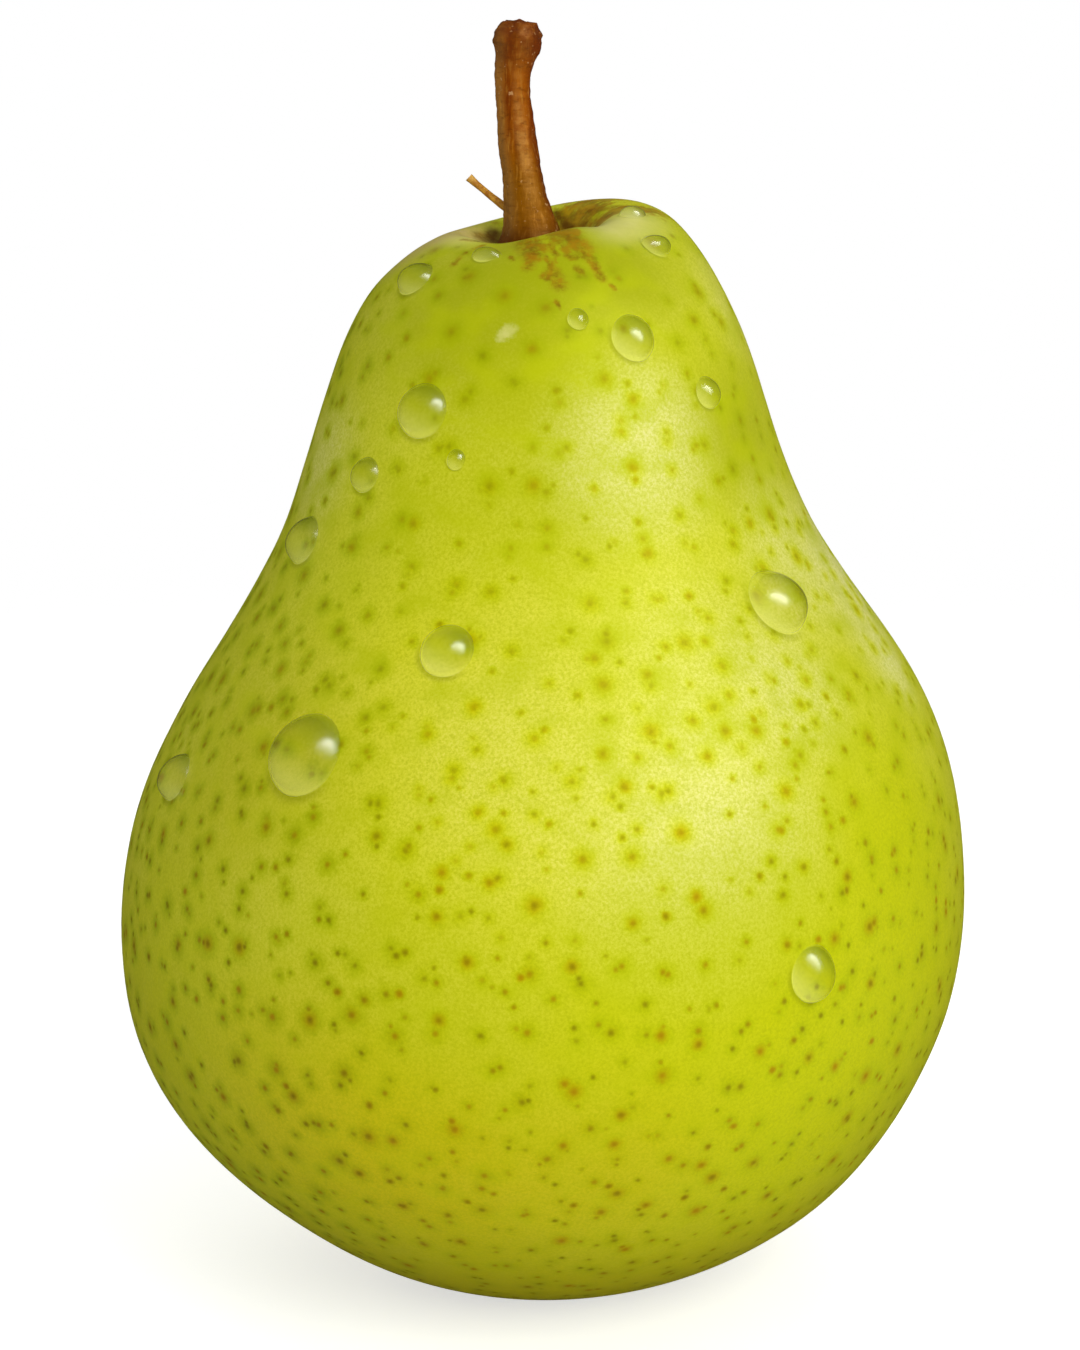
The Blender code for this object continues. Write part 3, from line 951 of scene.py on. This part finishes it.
def bead_tree(skin, form, material, sizes):
    """Sets a bead at each point, laid on the skin and raised from it by its lift."""
    group, tree, inputs = geometry_tree("beads_of_water", sizes)

    def part(thing):
        return tree.add("GeometryNodeObjectInfo", None, {"Object": thing}, "Geometry")

    def named(name, kind="FLOAT"):
        return tree.add("GeometryNodeInputNamedAttribute", {"data_type": kind}, {"Name": name})

    def on_skin(value, place):
        settings = {"data_type": "FLOAT_VECTOR"}
        sockets = {"Mesh": part(skin), "Value": value, "Sample Position": place}
        return tree.add("GeometryNodeSampleNearestSurface", settings, sockets)

    def even(value):
        sockets = {"Value": value, "Iterations": 10}
        return tree.add("GeometryNodeBlurAttribute", {"data_type": "FLOAT_VECTOR"}, sockets)

    place = tree.add("GeometryNodeInputPosition")
    normal = tree.add("GeometryNodeInputNormal")
    facing = tree.add(
        "FunctionNodeAlignRotationToVector", {"axis": "Z"}, {"Vector": on_skin(normal, place)}
    )
    upright = tree.add(
        "FunctionNodeAlignRotationToVector",
        {"axis": "Y", "pivot_axis": "Z"},
        {"Rotation": facing, "Vector": (0.0, 0.0, 1.0)},
    )
    copies = tree.add(
        "GeometryNodeInstanceOnPoints",
        None,
        {
            "Points": inputs,
            "Instance": part(form),
            "Rotation": upright,
            "Scale": named("size", "FLOAT_VECTOR"),
        },
    )
    real = tree.add("GeometryNodeRealizeInstances", None, {0: copies})
    settle = even(tree.vector("SUBTRACT", on_skin(place, place), place))
    outward = tree.vector("NORMALIZE", even(on_skin(normal, place)))
    rise = named("lift") * named("tall") * inputs.out("Height")
    foot = tree.vector("ADD", place, settle)
    raised = tree.vector("ADD", foot, tree.vector("SCALE", outward, rise))
    laid = tree.add("GeometryNodeSetPosition", None, {"Geometry": real, "Position": raised})
    close_tree(tree, laid, material)
    return group


def water_material():
    """Clear water; its coat is what catches the round card."""
    return new_material(
        "water_finish",
        Base_Color=(1.0, 1.0, 1.0, 1.0),
        IOR=1.33,
        Roughness=0.05,
        Transmission_Weight=1.0,
        Coat_Weight=1.0,
        Coat_Roughness=0.30,
        Coat_IOR=1.8,
    )[0]


def bead_seeds():
    """A point on the body for each bead, with its size."""
    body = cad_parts["fruit"]
    shape = BVHTree.FromObject(body, bpy.context.evaluated_depsgraph_get())
    seeds = bpy.data.meshes.new("bead_seeds")
    seeds.from_pydata([skin_point(shape, turn, tilt) for turn, tilt, _, _ in BEADS], [], [])
    seeds.attributes.new("size", "FLOAT_VECTOR", "POINT")
    seeds.attributes.new("tall", "FLOAT", "POINT")
    for number, (_, _, wide, high) in enumerate(BEADS):
        seeds.attributes["size"].data[number].vector = (wide / 2 * MM, high / 2 * MM, MM)
        seeds.attributes["tall"].data[number].value = (wide + high) / 2 * MM
    return scratch_object("bead_seeds", seeds)


def make_beads(skin, points):
    form = scratch_object("bead_form", bead_form())
    sizes = {"Height": 0.33}
    mesh = grow(points, bead_tree(skin, form, water_material(), sizes), sizes)
    bpy.data.objects.remove(points)
    bpy.data.objects.remove(form)
    beads = add_piece("water_beads", mesh, [])
    beads.visible_shadow = False
    beads.visible_diffuse = False


# ---------------------------------------------------------------- studio


def area_light(name, turn, tilt, far, width, height, watts, aim):
    """A soft box that looks at aim from that turn and tilt, in degrees; it makes no glints."""
    light = bpy.data.lights.new(name, "AREA")
    light.shape = "RECTANGLE"
    light.size, light.size_y = width, height
    light.energy = watts
    lamp = scratch_object(name, light)
    way = direction(turn, tilt)
    lamp.location = aim + way * far
    lamp.rotation_euler = (-way).to_track_quat("-Z", "Y").to_euler()
    lamp.visible_glossy = False


def make_camera():
    """A long lens a little above the pear's middle, looking slightly down."""
    lens = bpy.data.cameras.new("camera")
    lens.lens = CAMERA_LENS
    lens.sensor_width = 36
    lens.clip_start = 0.01
    camera = scratch_object("camera", lens)
    tilt = math.radians(CAMERA_TILT)
    aim = Vector(CAMERA_AIM) * MM
    camera.location = aim + Vector((0.0, -math.cos(tilt), math.sin(tilt))) * CAMERA_DISTANCE
    camera.rotation_euler = (math.pi / 2 - tilt, 0.0, 0.0)
    bpy.context.scene.camera = camera


def make_world():
    """White all round; as light it is weaker than it looks."""
    world = bpy.data.worlds.new("studio")
    bpy.context.scene.world = world
    world.use_nodes = True
    tree = Tree(world.node_tree)
    world.node_tree.nodes.clear()
    rays = tree.add("ShaderNodeLightPath", None, None, "Is Camera Ray")
    glow = tree.add("ShaderNodeBackground", None, {"Color": (1, 1, 1, 1), "Strength": 1.0})
    fill = tree.add("ShaderNodeBackground", None, {"Color": (1, 1, 1, 1), "Strength": WORLD_FILL})
    sheen = tree.add("ShaderNodeBackground", None, {"Color": (1, 1, 1, 1), "Strength": WORLD_SHEEN})
    soft = tree.add("ShaderNodeMixShader", None, {0: rays.out("Is Glossy Ray"), 1: fill, 2: sheen})
    both = tree.add("ShaderNodeMixShader", None, {0: rays, 1: soft, 2: glow})
    tree.add("ShaderNodeOutputWorld", None, {0: both}, None)


def make_floor():
    """A white floor that fades into the white behind it."""
    material, tree, shader, place = new_material("floor_finish", Roughness=0.9)
    tree.put(shader, "Base Color", (0.78, 0.78, 0.78, 1.0))
    seen = tree.add("ShaderNodeLightPath", None, None, "Is Camera Ray")
    tree.put(shader, "Emission Color", tree.blend(seen, (0, 0, 0, 1), (1, 1, 1, 1)))
    tree.put(shader, "Emission Strength", FLOOR_GLOW)
    far = tree.vector("LENGTH", place, output="Value")
    tree.put(shader, "Alpha", tree.ease(far, 380.0, 110.0))
    work = bmesh.new()
    bmesh.ops.create_circle(work, cap_ends=True, segments=96, radius=FLOOR_RADIUS)
    mesh = bpy.data.meshes.new("floor")
    work.to_mesh(mesh)
    work.free()
    mesh.materials.append(material)
    floor = scratch_object("floor", mesh)
    floor.visible_glossy = False


def make_glint_card(aim):
    """A round card seen only in gloss: brightest at its upper right, fading to its lower left."""
    way = direction(CARD_TURN, CARD_TILT)
    across = direction(CARD_TURN + 90.0, 0.0)
    up = way.cross(across)
    middle = aim + way * CARD_FAR
    work = bmesh.new()
    corners = []
    for number in range(CARD_CORNERS):
        angle = 2 * math.pi * number / CARD_CORNERS
        outward = across * math.cos(angle) + up * math.sin(angle)
        corners.append(work.verts.new(middle + outward * CARD_HALF))
    work.faces.new(corners)
    mesh = bpy.data.meshes.new("glint_card")
    work.to_mesh(mesh)
    work.free()
    material = bpy.data.materials.new("glint_card_glow")
    material.use_nodes = True
    material.node_tree.nodes.clear()
    tree = Tree(material.node_tree)
    place = tree.add("ShaderNodeTexCoord", None, None, "Object")
    from_middle = tree.vector("SUBTRACT", place, tuple(middle))
    along = tree.vector("DOT_PRODUCT", from_middle, tuple((across + up).normalized()), output="Value")
    glow = tree.ease(along, -0.9 * CARD_HALF, 0.8 * CARD_HALF) ** 2.0 * CARD_GLOW
    shine = tree.add("ShaderNodeEmission", None, {"Color": (1, 1, 1, 1), "Strength": glow})
    tree.add("ShaderNodeOutputMaterial", None, {0: shine}, None)
    mesh.materials.append(material)
    card = scratch_object("glint_card", mesh)
    card.visible_camera = False
    card.visible_diffuse = False
    card.visible_transmission = False
    card.visible_shadow = False


def make_studio():
    aim = Vector(STUDIO_AIM) * MM
    make_camera()
    make_world()
    make_floor()
    area_light("window", 31, 28, 0.60, 0.30, 0.34, 1.57, aim)
    area_light("front", 14, 12, 0.75, 0.50, 0.50, 1.40, aim)
    area_light("edge", 138, 4, 0.60, 0.08, 0.50, 0.46, aim)
    area_light("back", 178, 24, 0.80, 0.60, 0.60, 0.95, aim)
    area_light("wall", -116, 16, 0.60, 0.12, 0.34, 0.46, aim)
    make_glint_card(aim)
    area_light("sky", 0, 89, 1.6, 2.4, 2.4, 3.0, aim)
    bpy.context.scene.view_settings.view_transform = "Standard"


make_studio()
seeds = bead_seeds()
pear_skin = make_skin(seeds)
make_stem()
make_leaf_stalk()
make_calyx()
make_beads(pear_skin, seeds)
